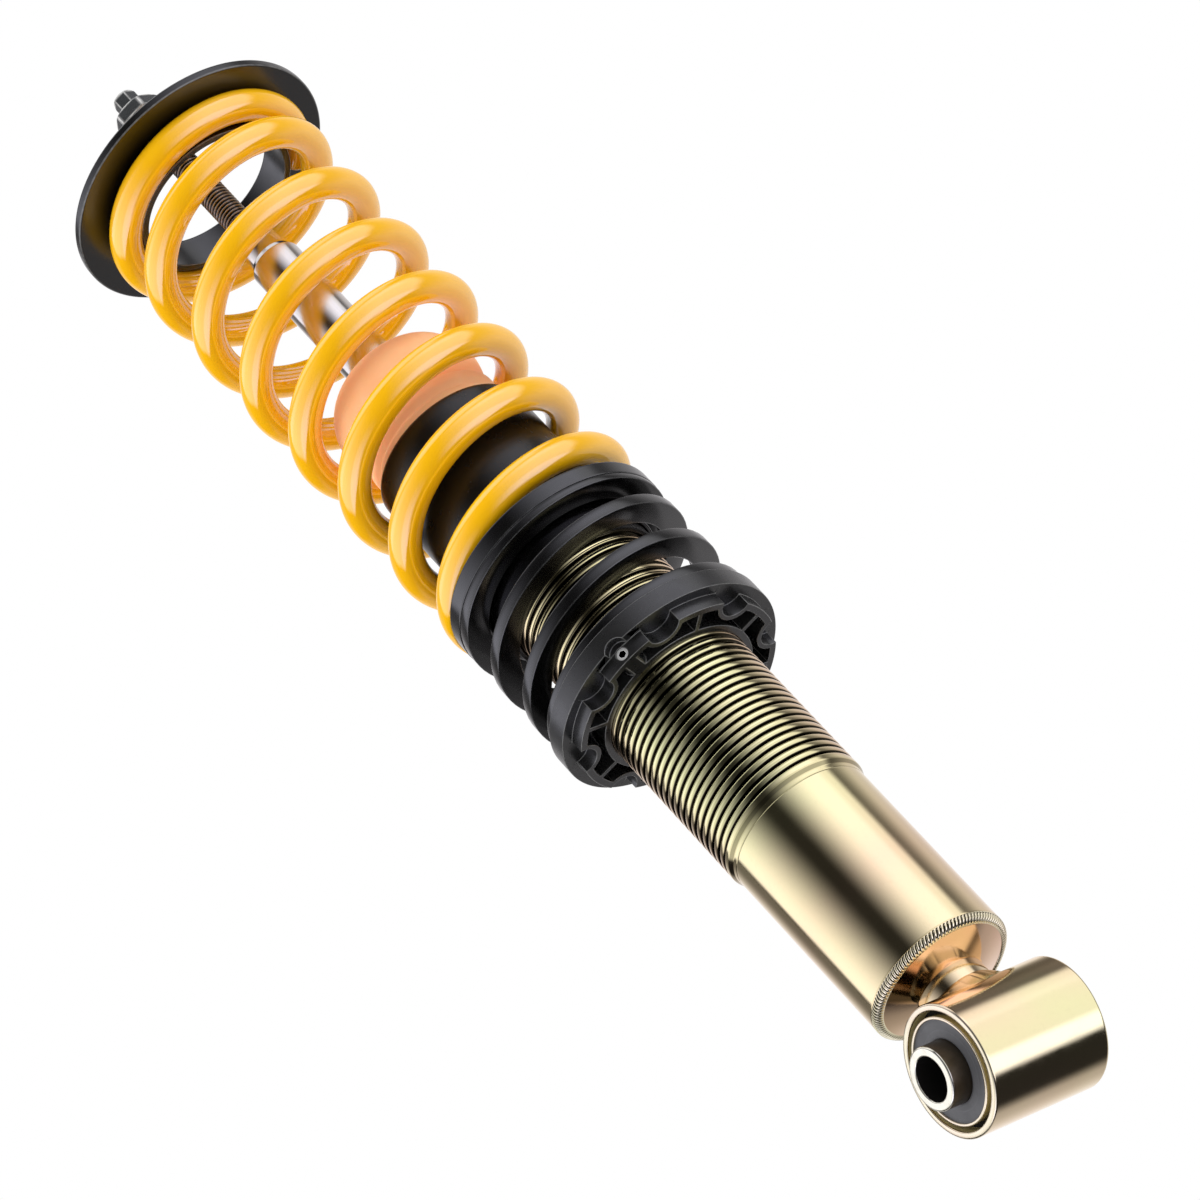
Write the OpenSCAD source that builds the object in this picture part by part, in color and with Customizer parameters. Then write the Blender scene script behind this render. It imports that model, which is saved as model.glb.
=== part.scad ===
// Coilover: a threaded damper body with a lower eye bush, a height adjusting collar,
// a flat-wire helper spring, a main coil spring, an upper spring perch and a piston rod.
// The damper axis is Z, the eye bush axis is Y and the origin is the centre of the eye.

/* [Lower eye] */
// Outer radius of the eye tube
eye_r = 21.15; // [20.5:0.05:22]
// Length of the eye tube along its axis
eye_len = 44.3; // [40:0.1:48]
// Outer radius of the bush's outer sleeve
bush_r = 17.15; // [16.9:0.05:17.4]
// Outer radius of the bush's inner sleeve
sleeve_r = 10.1; // [9.5:0.1:10.5]
// Radius of the bolt hole in the inner sleeve
bolt_hole_r = 7.1; // [6:0.1:8]
// Length of the inner sleeve along the eye axis
sleeve_len = 58; // [50:0.5:62]

/* [Damper body] */
// Outer radius of the plain lower tube
tube_r = 25; // [24.8:0.05:25.4]
// Outer radius over the body thread
thread_r = 26; // [25.9:0.05:26]
// Pitch of the body thread
thread_pitch = 3; // [2:0.5:3]
// Height where the plain tube ends and the thread starts
thread_start_z = 100.3; // [95:0.1:105]
// Height of the tube's top end
tube_top_z = 283; // [283:1:284]
// Outer radius of the dust sleeve on the tube's top
dust_r = 28; // [27.8:0.05:28]
// Height of the dust sleeve's top
dust_top_z = 290; // [289.5:0.1:290]
// Height of the dust sleeve's open lower end
dust_bottom_z = 214; // [213:1:216]

/* [Springs] */
// Height of the collar's top, where the helper spring stands
collar_top_z = 176.6; // [176.2:0.1:177]
// Height of the adapter ring's underside
adapter_z = 227; // [226.5:0.1:227.5]
// Height of the adapter ring's top, where the main spring stands
main_bottom_z = 232.7; // [232.4:0.1:233]
// Height of the upper perch's underside
perch_z = 438.4; // [437:0.1:439]
// Mean radius of the main spring
main_mean_r = 35.5; // [35.5:0.1:35.8]
// Wire diameter of the main spring
main_wire = 11; // [10:0.1:11]
// Turns of the main spring, end to end
main_turns = 8; // [7.8:0.05:8.1]
// Inner radius of the flat-wire helper spring
helper_inner_r = 31.3; // [31:0.1:31.6]
// Outer radius of the flat-wire helper spring
helper_outer_r = 39.8; // [39.5:0.1:40]
// Turns of the helper spring, end to end
helper_turns = 4.53; // [4.5:0.01:4.6]

/* [Collar] */
// Outer radius of the collar's flange
flange_r = 41; // [40.5:0.1:42]
// Outer radius of the collar's notched skirt
skirt_r = 37.4; // [37.2:0.1:37.8]
// Number of spanner notches
notch_count = 8; // [8]

/* [Piston rod] */
// Radius of the piston rod
rod_r = 9; // [8.98:0.01:9.01]
// Radius of the shank above the rod's shoulder
shank_r = 7; // [6:0.1:7.5]
// Radius of the threaded top end
stud_r = 5; // [4.5:0.1:5.1]
// Height of the rod's tip
tip_z = 488.2; // [486:0.1:490]
// Width across the flats of the top nut
nut_flats = 17; // [16:1:18]

/* [Hidden] */
$fn = 64;

gap = 0.05;                     // clearance of a sliding fit on the rod and in the bush
eps = 0.5;                      // overrun of a cutting solid

cap_z = 30.2;                   // underside of the base cap at its rim
cap_low_z = 26.7;               // the same where the cap's shallow cone meets the neck
cap_top_z = 38;
tube_bottom_z = 32.5;           // lower end of the body tube
bore_r = 22;                    // bore of the body tube
cap_r = bore_r;
neck_r = 12.2;
eye_inner_r = bush_r - 0.95;    // inside of the bush's outer sleeve

cylinder_r = 16;                // bore of the inner cylinder
cylinder_wall = 1.5;
cylinder_bottom_z = 44;
valve_spigot_h = 8;             // height of the base valve inside the inner cylinder
guide_z = 262;                  // underside of the rod guide's flange
guide_spigot_z = 256;
seal_z = 272;
head_z = 277;
wiper_top_z = 286;
wiper_seat_r = 14;              // bore of the head nut, where the wiper sits
wiper_lip_r = 12;
bush_wall = 1.5;                // wall of the rod guide's bush
plug_r = 19.7;                  // bump stop's plug in the dust sleeve's roof
piston_z = 236;                 // underside of the piston
piston_h = 14;
band_z = piston_z + 3;          // underside of the piston's band
band_h = 8;
band_inner_r = 14.6;
shim_r = 13;
shim_h = 1.2;
piston_stub_r = 6;
rod_bottom_z = 227;
rod_shoulder_z = piston_z + piston_h + shim_h;

rod_taper_z = 392.5;            // start of the steep chamfer on the rod's shoulder
shank_z = 394.6;
relief_z = 409;                 // shank's top, where the threaded end starts
stud_thread_z = 413.8;
nut_z = 473.1;
nut_h = 5.1;
hex_z = 480;                    // start of the hexagon on the rod's tip
hex_flats = 8;
hex_turn = 43.1;                // azimuth of one corner of the rod's hexagon
nut_turn = 44.3;                // azimuth of one corner of the nut

skirt_bottom_z = 164.3;
flange_bottom_z = 169.3;
collar_bore_r = thread_r + 0.08;
collar_neck_r = 29.6;
collar_neck_z = 184;
inner_ring_r = 28.4;            // outside of the collar's threaded inner wall
skirt_wall = 2.4;
pocket_top_z = 173;
notch_cut_r = 5.7;              // radius of one half-round spanner notch
notch_wall = 1.7;
rib_w = 1.6;
screw_angle = -45;              // azimuth of the set screw's block
screw_z = 167.5;
screw_r = 2;
screw_boss_r = 3.9;
block_step = 360 / notch_count;

adapter_r = 39.9;
adapter_bore_r = dust_r + 0.35;
adapter_neck_r = 29.6;
adapter_neck_h = 9;
perch_r = 48.1;
perch_t = 3.2;
perch_neck_r = 29.5;
perch_bore_r = 27;
perch_neck_z = 428.5;

helper_h = 4.4;                 // axial thickness of the helper's flat wire
helper_tip_z = 175;             // centre of the wire at the helper's lower tip
helper_dead = 0.77;             // turns of each closed end
helper_ramp = 0.3;              // turns over which the pitch grows
helper_end_pitch = 3.9;
helper_pitch = 17.4;
helper_start = 36.7;            // azimuth of the helper's lower tip

main_tip_z = 230;               // centre of the wire at the main spring's lower tip
main_start = 90;                // azimuth of the main spring's lower tip
main_pitch = 28.8;
main_foot_pitch = 9;            // pitch at the lower tip
main_foot = 0.86;               // turns over which the lower end opens to the full pitch
main_close = 6.85;              // turn where the upper end starts to close
main_closed = 7.3;              // turn where the upper end is closed
main_end_pitch = 11;

// Height risen while the pitch changes evenly from p0 to p1 over d turns, after t turns
function eased(t, d, p0, p1) = p0 * t + (p1 - p0) * t * t / (2 * d);

// Height of the main spring's wire centre after t turns
function main_z(t) = main_tip_z
    + eased(min(t, main_foot), main_foot, main_foot_pitch, main_pitch)
    + main_pitch * max(0, min(t, main_close) - main_foot)
    + eased(max(0, min(t, main_closed) - main_close), main_closed - main_close, main_pitch, main_end_pitch)
    + main_end_pitch * max(0, t - main_closed);

// Height of the helper's wire centre after t turns of its lower half
function helper_low(t) = helper_tip_z
    + helper_end_pitch * min(t, helper_dead)
    + eased(max(0, min(t - helper_dead, helper_ramp)), helper_ramp, helper_end_pitch, helper_pitch)
    + helper_pitch * max(0, t - helper_dead - helper_ramp);

// The helper's upper half mirrors its lower half
function helper_z(t) = t < helper_turns / 2
    ? helper_low(t)
    : 2 * helper_low(helper_turns / 2) - helper_low(helper_turns - t);

function clamped(v, low, high) = max(low, min(high, v));

// One closed skin round a list of rings that all have the same number of points
module skin(rings) {
    n = len(rings[0]);
    last = len(rings) - 1;
    points = [for (ring = rings) each ring];
    sides = [for (i = [0:last - 1], k = [0:n - 1], half = [0, 1])
        let (a = i * n + k, b = i * n + (k + 1) % n)
        half == 0 ? [a, a + n, b] : [b, a + n, b + n]];
    low_end = [for (k = [0:n - 1]) k];
    high_end = [for (k = [n - 1:-1:0]) last * n + k];
    polyhedron(points, concat([low_end], sides, [high_end]));
}

// A plain ring between two radii
module ring(outer, inner, h) {
    difference() {
        cylinder(r = outer, h = h);
        translate([0, 0, -eps]) cylinder(r = inner, h = h + 2 * eps);
    }
}

// Turns what follows from the Z axis to the eye axis, centred on the eye
module on_eye_axis(len) {
    rotate([90, 0, 0]) translate([0, 0, -len / 2]) children();
}

// A hexagonal prism with its edges turned down at the ends
module hexagon(flats, h, chamfer) {
    corner = flats / sqrt(3);
    intersection() {
        cylinder(r = corner, h = h, $fn = 6);
        union() {
            cylinder(r1 = corner - chamfer, r2 = corner, h = chamfer);
            translate([0, 0, chamfer]) cylinder(r = corner, h = h - 2 * chamfer);
            translate([0, 0, h - chamfer]) cylinder(r1 = corner, r2 = corner - chamfer, h = chamfer);
        }
    }
}

module eye_tube() {
    groove_r = 18.9;
    groove_h = 1.9;
    color("khaki") on_eye_axis(eye_len) difference() {
        cylinder(r = eye_r, h = eye_len);
        translate([0, 0, -eps]) cylinder(r = bush_r, h = eye_len + 2 * eps);
        translate([0, 0, -eps]) cylinder(r = groove_r, h = groove_h + eps);
        translate([0, 0, eye_len - groove_h]) cylinder(r = groove_r, h = groove_h + eps);
    }
}

module bush_outer_sleeve() {
    color("gainsboro") on_eye_axis(eye_len) ring(bush_r, eye_inner_r, eye_len);
}

module bush_rubber() {
    len = eye_len - 1.6;
    color("dimgray") on_eye_axis(len) ring(eye_inner_r, sleeve_r + gap, len);
}

module bush_inner_sleeve() {
    color("silver") on_eye_axis(sleeve_len) ring(sleeve_r, bolt_hole_r, sleeve_len);
}

module eye_neck() {
    color("khaki") difference() {
        cylinder(r = neck_r, h = cap_low_z);
        on_eye_axis(eye_len) cylinder(r = eye_r, h = eye_len);
    }
}

// The fillet weld that joins the neck to the eye
module neck_welds() {
    low_z = 16.5;
    color("burlywood") difference() {
        rotate_extrude() polygon([[neck_r, low_z], [neck_r + 2.6, low_z], [neck_r + 2.6, 19.3],
            [neck_r + 0.9, 21.6], [neck_r, 22.4]]);
        on_eye_axis(eye_len) cylinder(r = eye_r, h = eye_len);
    }
}

module base_cap() {
    color("khaki") rotate_extrude() polygon([[0, cap_low_z], [neck_r, cap_low_z], [cap_r, cap_z],
        [cap_r, cap_top_z], [0, cap_top_z]]);
}

module base_weld_bead() {
    color("burlywood") rotate_extrude() polygon([
        [cap_r, tube_bottom_z], [tube_r, tube_bottom_z], [tube_r - 0.35, 31.2],
        [tube_r - 1.2, 30.4], [cap_r + 0.6, 30.3], [cap_r, cap_z]]);
}

module body_tube() {
    color("khaki") rotate_extrude() polygon([
        [bore_r, tube_bottom_z], [tube_r, tube_bottom_z], [tube_r, thread_start_z],
        [thread_r, thread_start_z + thread_pitch], [thread_r, tube_top_z], [bore_r, tube_top_z]]);
}

module inner_cylinder() {
    color("lightgray") translate([0, 0, cylinder_bottom_z])
        ring(cylinder_r + cylinder_wall, cylinder_r, guide_z - cylinder_bottom_z);
}

// The base valve stands on the cap and holds the inner cylinder's lower end
module base_valve_body() {
    ports = 6;
    port_z = cap_top_z + 2;
    top_z = cylinder_bottom_z + valve_spigot_h;
    color("gray") difference() {
        union() {
            translate([0, 0, cap_top_z])
                cylinder(r = cylinder_r + cylinder_wall, h = cylinder_bottom_z - cap_top_z);
            translate([0, 0, cylinder_bottom_z]) cylinder(r = cylinder_r, h = valve_spigot_h);
        }
        for (i = [0:ports - 1])
            rotate(360 / ports * i) translate([9, 0, port_z]) cylinder(r = 1.8, h = top_z - port_z + eps);
    }
}

// The base valve's shim stack and the bolt head that holds it
module base_valve_shims() {
    shim = 0.6;
    color("silver") translate([0, 0, cylinder_bottom_z + valve_spigot_h]) {
        cylinder(r = 12.5, h = shim);
        translate([0, 0, shim]) cylinder(r = 9, h = shim);
        translate([0, 0, 2 * shim]) cylinder(r = 4, h = 3);
    }
}

module rod_guide() {
    bush_outer = rod_r + gap + bush_wall;
    color("gray") difference() {
        union() {
            translate([0, 0, guide_z]) cylinder(r = bore_r, h = seal_z - guide_z);
            translate([0, 0, guide_spigot_z]) cylinder(r = cylinder_r, h = guide_z - guide_spigot_z);
        }
        translate([0, 0, guide_spigot_z - eps])
            cylinder(r = bush_outer, h = seal_z - guide_spigot_z + 2 * eps);
    }
}

module guide_bush() {
    color("goldenrod") translate([0, 0, guide_spigot_z])
        ring(rod_r + gap + bush_wall, rod_r + gap, seal_z - guide_spigot_z);
}

module oil_seal() {
    color("black") translate([0, 0, seal_z]) ring(bore_r, rod_r + gap, head_z - seal_z);
}

module head_nut() {
    color("dimgray") translate([0, 0, head_z]) ring(bore_r, wiper_seat_r, tube_top_z - head_z);
}

module rod_wiper() {
    color("black") {
        translate([0, 0, head_z]) ring(wiper_seat_r, rod_r + gap, tube_top_z - head_z);
        translate([0, 0, tube_top_z]) ring(wiper_lip_r, rod_r + gap, wiper_top_z - tube_top_z);
    }
}

module dust_sleeve() {
    inner = dust_r - 1.6;
    edge = 3;
    roof = 3;
    hole = plug_r + 0.3;
    color("black") rotate_extrude() difference() {
        union() {
            translate([hole, dust_bottom_z]) square([dust_r - hole, dust_top_z - edge - dust_bottom_z]);
            translate([hole, dust_top_z - edge]) square([dust_r - edge - hole, edge]);
            intersection() {
                translate([dust_r - edge, dust_top_z - edge]) circle(r = edge);
                translate([dust_r - edge, dust_top_z - edge]) square(edge);
            }
        }
        translate([hole - eps, dust_bottom_z - eps])
            square([inner - hole + eps, dust_top_z - roof - dust_bottom_z + eps]);
    }
}

// Foam bump stop: a barrel-shaped lobe, a groove, a flange and a plug in the dust sleeve
module bump_stop() {
    lobe = [14.3, 313.1];
    lobe_r = 12.1;
    lobe_h = 15.1;
    flange = 25.2;
    rim_r = 24.7;
    plug_z = 286.5;
    bore = rod_r + 0.08;
    side = [for (a = [90:-15:-45]) [lobe[0] + lobe_r * cos(a), lobe[1] + lobe_h * sin(a)]];
    color("lightsalmon") rotate_extrude() polygon(concat(
        [[bore, plug_z], [bore, lobe[1] + lobe_h - 1.5], [bore + 1.5, lobe[1] + lobe_h]],
        side,
        [[22, 301], [flange - 0.6, 300.6], [flange, 300], [flange, 297.5], [rim_r - 0.8, 294.2],
        [rim_r, 293.4], [rim_r, dust_top_z], [plug_r, dust_top_z], [plug_r, plug_z]]));
}

module piston_band() {
    color("ivory") translate([0, 0, band_z]) ring(cylinder_r - 0.03, band_inner_r, band_h);
}

module piston() {
    ports = 6;
    color("gray") translate([0, 0, piston_z]) difference() {
        cylinder(r = cylinder_r - 0.4, h = piston_h);
        translate([0, 0, -eps]) cylinder(r = piston_stub_r, h = piston_h + 2 * eps);
        translate([0, 0, band_z - piston_z - gap]) ring(cylinder_r + 1, band_inner_r - gap, band_h + 2 * gap);
        for (i = [0:ports - 1])
            rotate(360 / ports * i) translate([10.2, 0, -eps]) cylinder(r = 1.7, h = piston_h + 2 * eps);
    }
}

// The compression and rebound shim stacks on the piston's two faces
module piston_shims() {
    color("silver") {
        translate([0, 0, piston_z + piston_h]) ring(shim_r, piston_stub_r, shim_h);
        translate([0, 0, piston_z - shim_h]) ring(shim_r, piston_stub_r, shim_h);
    }
}

module piston_nut() {
    h = 6;
    color("dimgray") translate([0, 0, piston_z - shim_h - h]) difference() {
        hexagon(19, h, 0.6);
        translate([0, 0, -eps]) cylinder(r = piston_stub_r, h = h + 2 * eps);
    }
}

module rebound_stop() {
    color("black") translate([0, 0, rod_shoulder_z]) ring(13.5, rod_r, 4.3);
}

module piston_rod() {
    tip_chamfer = 2.1;
    color("silver") {
        rotate_extrude() polygon([
            [0, rod_bottom_z], [piston_stub_r, rod_bottom_z], [piston_stub_r, rod_shoulder_z],
            [rod_r, rod_shoulder_z], [rod_r, rod_taper_z], [rod_r - 1.1, shank_z],
            [shank_r, shank_z], [shank_r, relief_z - 0.8], [shank_r - 0.8, relief_z],
            [stud_r - 0.6, relief_z], [stud_r - 0.6, stud_thread_z], [stud_r, stud_thread_z + 0.6],
            [stud_r, hex_z - 0.8], [stud_r - 0.8, hex_z], [0, hex_z]]);
        intersection() {
            translate([0, 0, hex_z]) rotate(hex_turn)
                cylinder(r = hex_flats / sqrt(3), h = tip_z - hex_z, $fn = 6);
            rotate_extrude() polygon([[0, hex_z - eps], [stud_r, hex_z - eps], [stud_r, tip_z - tip_chamfer],
                [2.5, tip_z], [0, tip_z]]);
        }
    }
}

module top_nut() {
    color("dimgray") translate([0, 0, nut_z]) difference() {
        rotate(nut_turn) hexagon(nut_flats, nut_h, 0.9);
        translate([0, 0, -eps]) cylinder(r = stud_r, h = nut_h + 2 * eps);
    }
}

// Hollows under the skirt's blocks, between the inner wall, the outer wall, the notch walls and the ribs
module collar_pockets() {
    h = pocket_top_z - skirt_bottom_z + eps;
    difference() {
        translate([0, 0, skirt_bottom_z - eps]) ring(skirt_r - skirt_wall, inner_ring_r, h);
        for (i = [0:notch_count - 1]) {
            rotate(block_step * (i + 0.5)) translate([skirt_r + 0.3, 0, skirt_bottom_z - 2 * eps])
                cylinder(r = notch_cut_r + notch_wall, h = h + 3 * eps);
            rotate(block_step * i) translate([inner_ring_r - 2, -rib_w / 2, skirt_bottom_z - 2 * eps])
                cube([skirt_r - inner_ring_r, rib_w, h + 3 * eps]);
        }
        rotate(screw_angle) translate([inner_ring_r - 2, 0, screw_z]) rotate([0, 90, 0])
            cylinder(r = screw_boss_r, h = skirt_r - inner_ring_r + 1);
    }
}

module adjuster_collar() {
    color("darkslategray") difference() {
        union() {
            translate([0, 0, flange_bottom_z]) cylinder(r = flange_r, h = collar_top_z - flange_bottom_z);
            translate([0, 0, skirt_bottom_z]) cylinder(r = skirt_r, h = collar_top_z - skirt_bottom_z);
            translate([0, 0, skirt_bottom_z]) cylinder(r = collar_neck_r, h = collar_neck_z - skirt_bottom_z);
        }
        translate([0, 0, skirt_bottom_z - eps])
            cylinder(r = collar_bore_r, h = collar_neck_z - skirt_bottom_z + 2 * eps);
        for (i = [0:notch_count - 1])
            rotate(block_step * (i + 0.5)) translate([skirt_r + 0.3, 0, skirt_bottom_z - eps])
                cylinder(r = notch_cut_r, h = flange_bottom_z - skirt_bottom_z + eps);
        collar_pockets();
        rotate(screw_angle) translate([collar_bore_r - 2, 0, screw_z]) rotate([0, 90, 0])
            cylinder(r = screw_r + gap, h = skirt_r - collar_bore_r + 3);
        rotate(screw_angle) translate([skirt_r, 0, screw_z]) rotate([0, 90, 0])
            cylinder(r = screw_boss_r + 0.2, h = 10);
    }
}

module set_screw() {
    color("silver") rotate(screw_angle) translate([29.2, 0, screw_z]) rotate([0, 90, 0]) difference() {
        cylinder(r = screw_r, h = 7.8);
        translate([0, 0, 4.8]) cylinder(r = 1.25, h = 4, $fn = 6);
    }
}

module lock_pad() {
    color("ivory") rotate(screw_angle) translate([27.2, 0, screw_z]) rotate([0, 90, 0])
        cylinder(r = screw_r - 0.1, h = 2);
}

// Flat-wire helper spring with closed, ground ends
module helper_spring() {
    steps = 30;
    rings = [for (i = [0:ceil(helper_turns * steps)])
        let (t = min(i / steps, helper_turns), a = helper_start + 360 * t,
            low = clamped(helper_z(t) - helper_h / 2, collar_top_z, adapter_z - 0.4),
            high = clamped(helper_z(t) + helper_h / 2, collar_top_z + 0.4, adapter_z))
        [for (p = [[helper_inner_r, low], [helper_outer_r, low], [helper_outer_r, high],
            [helper_inner_r, high]]) [p[0] * cos(a), p[0] * sin(a), p[1]]]];
    color("dimgray") skin(rings);
}

// Ring between the two springs, with a neck inside each of them
module helper_adapter() {
    low_z = adapter_z - adapter_neck_h;
    high_z = main_bottom_z + adapter_neck_h;
    color("dimgray") difference() {
        union() {
            translate([0, 0, adapter_z]) cylinder(r = adapter_r, h = main_bottom_z - adapter_z);
            translate([0, 0, low_z]) cylinder(r = adapter_neck_r, h = high_z - low_z);
        }
        translate([0, 0, low_z - eps]) cylinder(r = adapter_bore_r, h = high_z - low_z + 2 * eps);
    }
}

// One section of the round wire as angles round its centre, with its underside ground flat
// where the lower seat cuts it and its top ground flat where the perch cuts it
function main_section(t, sides) =
    let (wire_r = main_wire / 2,
        low = max(asin(clamped((main_bottom_z - main_z(t)) / wire_r, -1, 1)), 180 / sides - 90),
        high = min(asin(clamped((perch_z - main_z(t)) / wire_r, -1, 1)), 90 - 180 / sides))
    [for (k = [0:sides - 1])
        t < main_turns / 2
        ? low + (180 - 2 * low) * k / (sides - 1)
        : 180 - high + (180 + 2 * high) * ((k + sides / 2) % sides) / (sides - 1)];

// Main spring with ground ends
module main_spring() {
    steps = 24;
    sides = 12;
    wire_r = main_wire / 2;
    rings = [for (i = [0:ceil(main_turns * steps)])
        let (t = min(i / steps, main_turns), a = main_start + 360 * t)
        [for (b = main_section(t, sides))
            let (r = main_mean_r + wire_r * cos(b))
            [r * cos(a), r * sin(a), main_z(t) + wire_r * sin(b)]]];
    color("orange") skin(rings);
}

module upper_perch() {
    color("dimgray") difference() {
        union() {
            translate([0, 0, perch_z]) cylinder(r = perch_r, h = perch_t);
            translate([0, 0, perch_neck_z]) cylinder(r = perch_neck_r, h = perch_z - perch_neck_z);
        }
        translate([0, 0, perch_neck_z - eps])
            cylinder(r = perch_bore_r, h = perch_z + perch_t - perch_neck_z + 2 * eps);
    }
}

eye_tube();
bush_outer_sleeve();
bush_rubber();
bush_inner_sleeve();
eye_neck();
neck_welds();
base_cap();
base_weld_bead();
body_tube();
inner_cylinder();
base_valve_body();
base_valve_shims();
rod_guide();
guide_bush();
oil_seal();
head_nut();
rod_wiper();
dust_sleeve();
bump_stop();
piston_band();
piston_rod();
piston();
piston_shims();
piston_nut();
rebound_stop();
top_nut();
adjuster_collar();
set_screw();
lock_pad();
helper_spring();
helper_adapter();
main_spring();
upper_perch();
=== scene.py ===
"""Looks of a threaded-body coilover: eye, zinc-plated body, collar, helper and main springs, perch and rod.

Sizes below are in millimetres and become metres when a mesh is made.
"""
import math

import bmesh
import bpy
from mathutils import Matrix, Vector


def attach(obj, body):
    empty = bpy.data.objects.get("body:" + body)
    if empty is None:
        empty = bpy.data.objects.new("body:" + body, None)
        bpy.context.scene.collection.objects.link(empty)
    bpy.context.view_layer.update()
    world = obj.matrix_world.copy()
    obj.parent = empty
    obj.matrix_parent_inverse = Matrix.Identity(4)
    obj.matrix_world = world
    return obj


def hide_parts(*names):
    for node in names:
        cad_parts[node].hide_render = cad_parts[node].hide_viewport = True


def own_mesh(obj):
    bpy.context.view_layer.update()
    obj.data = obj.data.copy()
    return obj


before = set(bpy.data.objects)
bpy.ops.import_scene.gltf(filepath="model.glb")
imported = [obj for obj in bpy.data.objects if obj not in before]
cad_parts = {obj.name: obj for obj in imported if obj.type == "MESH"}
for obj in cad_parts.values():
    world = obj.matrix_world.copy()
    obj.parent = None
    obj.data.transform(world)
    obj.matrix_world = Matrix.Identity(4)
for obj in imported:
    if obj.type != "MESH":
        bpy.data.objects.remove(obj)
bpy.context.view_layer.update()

MM = 0.001
TAU = 2 * math.pi
HAIR = 0.02       # a clearance too small to see

# ---------------- sizes shared with the CAD part
TUBE_R = 25.0
THREAD_R = 26.0
THREAD_PITCH = 3.0
THREAD_LOW = 104.6
THREAD_HIGH = 224.0
COLLAR_TOP = 176.6
ADAPTER_Z = 227.0
MAIN_BOTTOM = 232.7
PERCH_Z = 438.4
MAIN_MEAN_R = 35.5
MAIN_WIRE_R = 5.5
MAIN_TURNS = 8.0
MAIN_START = 90.0
HELPER_TURNS = 4.53
HELPER_START = 36.7
HELPER_HALF_H = 2.2
SCREW_AZIMUTH = -45.0
SCREW_Z = 167.5


# ---------------- mesh helpers
NO_LENGTH = 1e-7          # metres: an edge shorter than this is a leftover of merging
NO_RADIUS = 1e-6          # millimetres: an outline point this close to the axis is on it
CREST_CUT = 0.15          # share of a thread's depth that still counts as crest
CREST_FADE = 8.7
FLANK_FADE = 1.3


def smoothstep(low, high, value):
    t = min(1.0, max(0.0, (value - low) / (high - low)))
    return t * t * (3 - 2 * t)


def rounded(points, steps=4):
    """Points (r, z) or (r, z, radius) as (r, z, worn), with each corner that has a radius rounded."""
    out = []
    n = len(points)
    for i, point in enumerate(points):
        radius = point[2] if len(point) > 2 else 0.0
        p = Vector(point[:2])
        if radius <= 0:
            out.append((p.x, p.y, 0.0))
            continue
        a = Vector(points[i - 1][:2]) - p
        b = Vector(points[(i + 1) % n][:2]) - p
        la, lb = a.length, b.length
        a.normalize()
        b.normalize()
        half = math.acos(max(-1.0, min(1.0, a.dot(b)))) / 2
        reach = min(radius / math.tan(half), 0.48 * la, 0.48 * lb)
        r = reach * math.tan(half)
        middle = (a + b).normalized() * (r / math.sin(half)) + p
        start, end = p + a * reach, p + b * reach
        a0 = math.atan2(start.y - middle.y, start.x - middle.x)
        a1 = math.atan2(end.y - middle.y, end.x - middle.x)
        turn = (a1 - a0 + math.pi) % TAU - math.pi
        for k in range(steps + 1):
            t = a0 + turn * k / steps
            wear_and_painted_light = math.sin(math.pi * k / steps)
            out.append((middle.x + r * math.cos(t), middle.y + r * math.sin(t), wear_and_painted_light))
    return held(out)


def held(outline, margin=0.3):
    """Adds a point close to both ends of each long run, so that the shading of a flat run stays flat."""
    out = []
    for i, (x, y, wear_and_painted_light) in enumerate(outline):
        out.append((x, y, wear_and_painted_light))
        x1, y1, worn1 = outline[(i + 1) % len(outline)]
        length = math.hypot(x1 - x, y1 - y)
        if length > 4 * margin:
            for share in (margin / length, 1 - margin / length):
                out.append((x + (x1 - x) * share, y + (y1 - y) * share, 0.0 if wear_and_painted_light * worn1 == 0 else wear_and_painted_light))
    return out


def make(name, verts, faces, material, body, slot, replaces=(), wear_and_painted_light=None, sharp=38.0, merge=0.0):
    """A new visible piece from vertices in millimetres. worn gives each vertex an edge-wear value that also
    paints edge highlight, and below 0 paints shade.
    """
    mesh = bpy.data.meshes.new(name)
    mesh.from_pydata([(x * MM, y * MM, z * MM) for x, y, z in verts], [], faces)
    if wear_and_painted_light is not None:
        layer = mesh.attributes.new("wear_and_painted_light", "FLOAT", "POINT")
        layer.data.foreach_set("value", wear_and_painted_light)
    bm = bmesh.new()
    bm.from_mesh(mesh)
    if merge:
        bmesh.ops.remove_doubles(bm, verts=bm.verts, dist=merge * MM)
        bmesh.ops.dissolve_degenerate(bm, edges=bm.edges, dist=NO_LENGTH)
    bmesh.ops.recalc_face_normals(bm, faces=bm.faces)
    bm.to_mesh(mesh)
    bm.free()
    mesh.shade_smooth()
    mesh.set_sharp_from_angle(angle=math.radians(sharp))
    obj = bpy.data.objects.new(name, mesh)
    bpy.context.scene.collection.objects.link(obj)
    mesh.materials.append(material)
    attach(obj, body)
    if replaces:
        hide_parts(*replaces)
    return obj


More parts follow.
